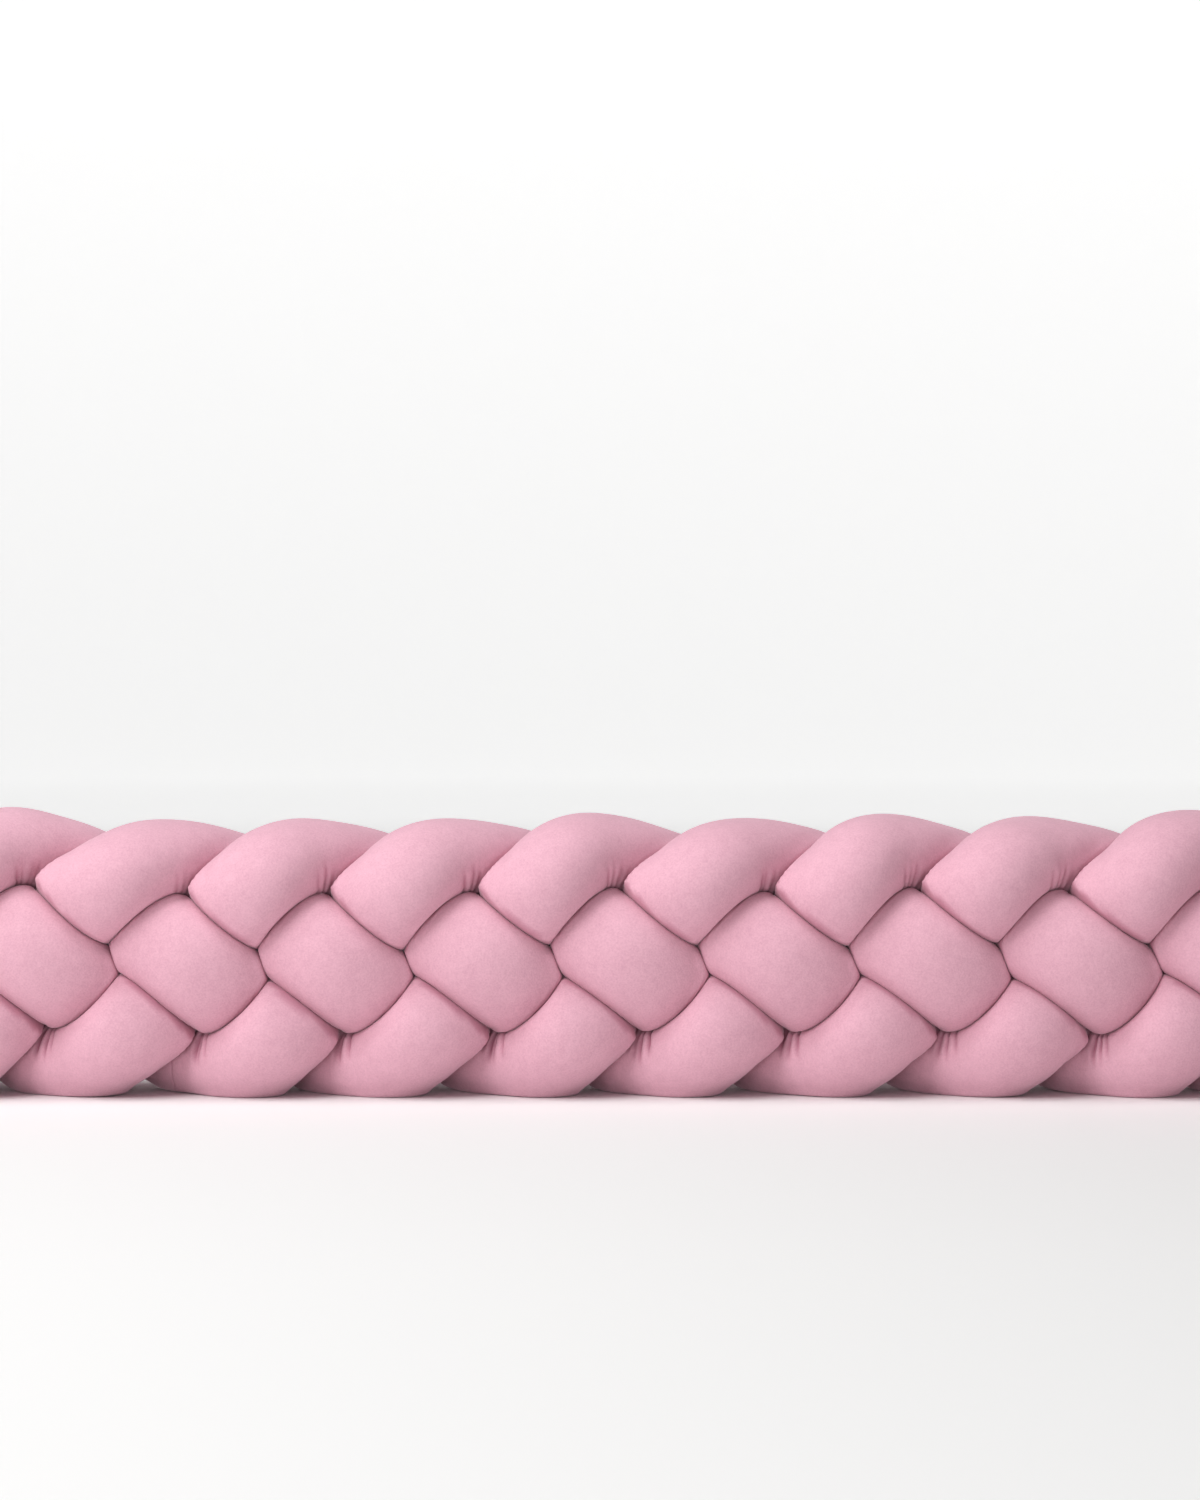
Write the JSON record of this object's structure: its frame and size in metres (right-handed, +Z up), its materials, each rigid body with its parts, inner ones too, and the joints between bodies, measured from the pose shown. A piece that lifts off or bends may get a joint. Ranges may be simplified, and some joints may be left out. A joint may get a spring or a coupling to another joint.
{
  "type": "braided crib bumper",
  "caption": "Soft crib bumper: stuffed velour tubes plaited in a flat over-and-under braid, standing on its lower edge.",
  "frame": {"origin": "on the surface that the braid stands on, under the middle of its box", "axes": "+X along the braid, +Y through it from the face that shows to the back, +Z up"},
  "size_m": [1.2, 0.1224, 0.1606],
  "materials": {
    "velour": "matte short-pile velour, dusty rose"
  },
  "bodies": {
    "root": {"strand_1": "velour", "strand_2": "velour", "strand_3": "velour", "strand_4": "velour"}
  },
  "joints": []
}
